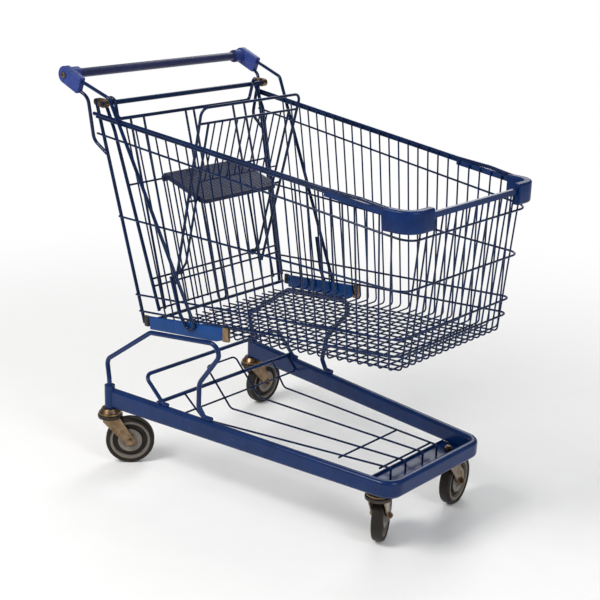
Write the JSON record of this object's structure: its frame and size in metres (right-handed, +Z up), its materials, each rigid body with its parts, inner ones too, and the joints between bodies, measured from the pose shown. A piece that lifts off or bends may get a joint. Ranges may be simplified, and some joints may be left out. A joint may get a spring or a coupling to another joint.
{
  "type": "shopping trolley",
  "caption": "Wire shopping trolley on four swivel casters, with a hinged rear gate and a folding child seat.",
  "frame": {"origin": "on the floor under the middle of the bounding box, with the casters where they stand", "axes": "+X forward, away from the handle; +Y to the trolley's left; +Z up"},
  "size_m": [1.0168, 0.6896, 1.0175],
  "materials": {
    "frame_paint": "gloss",
    "bracket_paint": "gloss",
    "handle_paint": "satin",
    "cap_plastic": "satin",
    "bumper_plastic": "satin",
    "seat_plastic": "matte",
    "zinc": "satin",
    "buffer_plastic": "matte",
    "hub_plastic": "matte",
    "tyre": "matte"
  },
  "bodies": {
    "frame": {"arch_rods": "frame_paint", "basket_hoops": "frame_paint", "bracket_clips": "zinc", "cap_screws": "zinc", "caster_front_left_head": "zinc", "caster_front_right_head": "zinc", "caster_rear_left_head": "zinc", "caster_rear_right_head": "zinc", "caster_sockets": "frame_paint", "chassis_tube": "frame_paint", "corner_bumpers": "bumper_plastic", "floor_cross_wires": "frame_paint", "floor_long_wires": "frame_paint", "floor_rear_bar": "frame_paint", "front_bar": "frame_paint", "front_plate": "frame_paint", "front_wires": "frame_paint", "handle_braces": "frame_paint", "handle_cap_left": "cap_plastic", "handle_cap_right": "cap_plastic", "handle_tube": "handle_paint", "handle_wires": "frame_paint", "hinge_bar": "frame_paint", "hinge_hooks": "zinc", "rack_bars": "frame_paint", "rack_wires": "frame_paint", "rear_buffers": "buffer_plastic", "rear_posts": "frame_paint", "rim_lower_wires": "frame_paint", "rim_wires": "frame_paint", "side_brackets": "bracket_paint", "side_wires_left": "frame_paint", "side_wires_right": "frame_paint"},
    "gate": {"gate_frame": "frame_paint", "gate_bars": "frame_paint", "gate_cross_wires": "frame_paint", "gate_lower_wires": "frame_paint"},
    "backrest": {"backrest_frame": "frame_paint", "backrest_legs": "frame_paint", "backrest_wires": "frame_paint", "seat_hinge_pin": "frame_paint"},
    "seat": {"seat_plate": "seat_plastic"},
    "caster_fork_front_left": {"caster_front_left_fork": "zinc", "caster_front_left_axle": "zinc"},
    "wheel_front_left": {"caster_front_left_hub": "hub_plastic", "caster_front_left_tyre": "tyre"},
    "caster_fork_front_right": {"caster_front_right_fork": "zinc", "caster_front_right_axle": "zinc"},
    "wheel_front_right": {"caster_front_right_hub": "hub_plastic", "caster_front_right_tyre": "tyre"},
    "caster_fork_rear_left": {"caster_rear_left_fork": "zinc", "caster_rear_left_axle": "zinc"},
    "wheel_rear_left": {"caster_rear_left_hub": "hub_plastic", "caster_rear_left_tyre": "tyre"},
    "caster_fork_rear_right": {"caster_rear_right_fork": "zinc", "caster_rear_right_axle": "zinc"},
    "wheel_rear_right": {"caster_rear_right_hub": "hub_plastic", "caster_rear_right_tyre": "tyre"}
  },
  "joints": [
    {"name": "swivel_front_left", "type": "hinge", "parent": "frame", "child": "caster_fork_front_left", "pos_m": [0.38405, 0.10223, 0.1], "axis": [0, 0, 1], "continuous": true},
    {"name": "spin_front_left", "type": "hinge", "parent": "caster_fork_front_left", "child": "wheel_front_left", "pos_m": [0.37537, 0.15147, 0.0625], "axis": [-0.9848, -0.1736, 0], "continuous": true},
    {"name": "swivel_front_right", "type": "hinge", "parent": "frame", "child": "caster_fork_front_right", "pos_m": [0.38405, -0.16577, 0.1], "axis": [0, 0, 1], "continuous": true},
    {"name": "spin_front_right", "type": "hinge", "parent": "caster_fork_front_right", "child": "wheel_front_right", "pos_m": [0.36135, -0.12122, 0.0625], "axis": [-0.891, -0.454, 0], "continuous": true},
    {"name": "swivel_rear_left", "type": "hinge", "parent": "frame", "child": "caster_fork_rear_left", "pos_m": [-0.39595, 0.23223, 0.1], "axis": [0, 0, 1], "continuous": true},
    {"name": "spin_rear_left", "type": "hinge", "parent": "caster_fork_rear_left", "child": "wheel_rear_left", "pos_m": [-0.3977, 0.2822, 0.0625], "axis": [-0.9994, -0.0349, 0], "continuous": true},
    {"name": "swivel_rear_right", "type": "hinge", "parent": "frame", "child": "caster_fork_rear_right", "pos_m": [-0.39595, -0.29577, 0.1], "axis": [0, 0, 1], "continuous": true},
    {"name": "spin_rear_right", "type": "hinge", "parent": "caster_fork_rear_right", "child": "wheel_rear_right", "pos_m": [-0.36185, -0.2592, 0.0625], "axis": [-0.7314, 0.682, 0], "continuous": true},
    {"name": "gate_swing", "type": "hinge", "parent": "frame", "child": "gate", "pos_m": [-0.38195, -0.03177, 0.938], "axis": [0, -1, 0], "range_deg": [0, 75]},
    {"name": "backrest_fold", "type": "hinge", "parent": "gate", "child": "backrest", "pos_m": [-0.27393, -0.03177, 0.51755], "axis": [0, -1, 0], "range_deg": [0, 20]},
    {"name": "seat_fold", "type": "hinge", "parent": "backrest", "child": "seat", "pos_m": [-0.21254, -0.03177, 0.712], "axis": [0, 1, 0], "range_deg": [0, 68]}
  ],
  "couplings": [
    {"joint": "seat_fold", "follows": "backrest_fold", "ratio": 3.4}
  ]
}
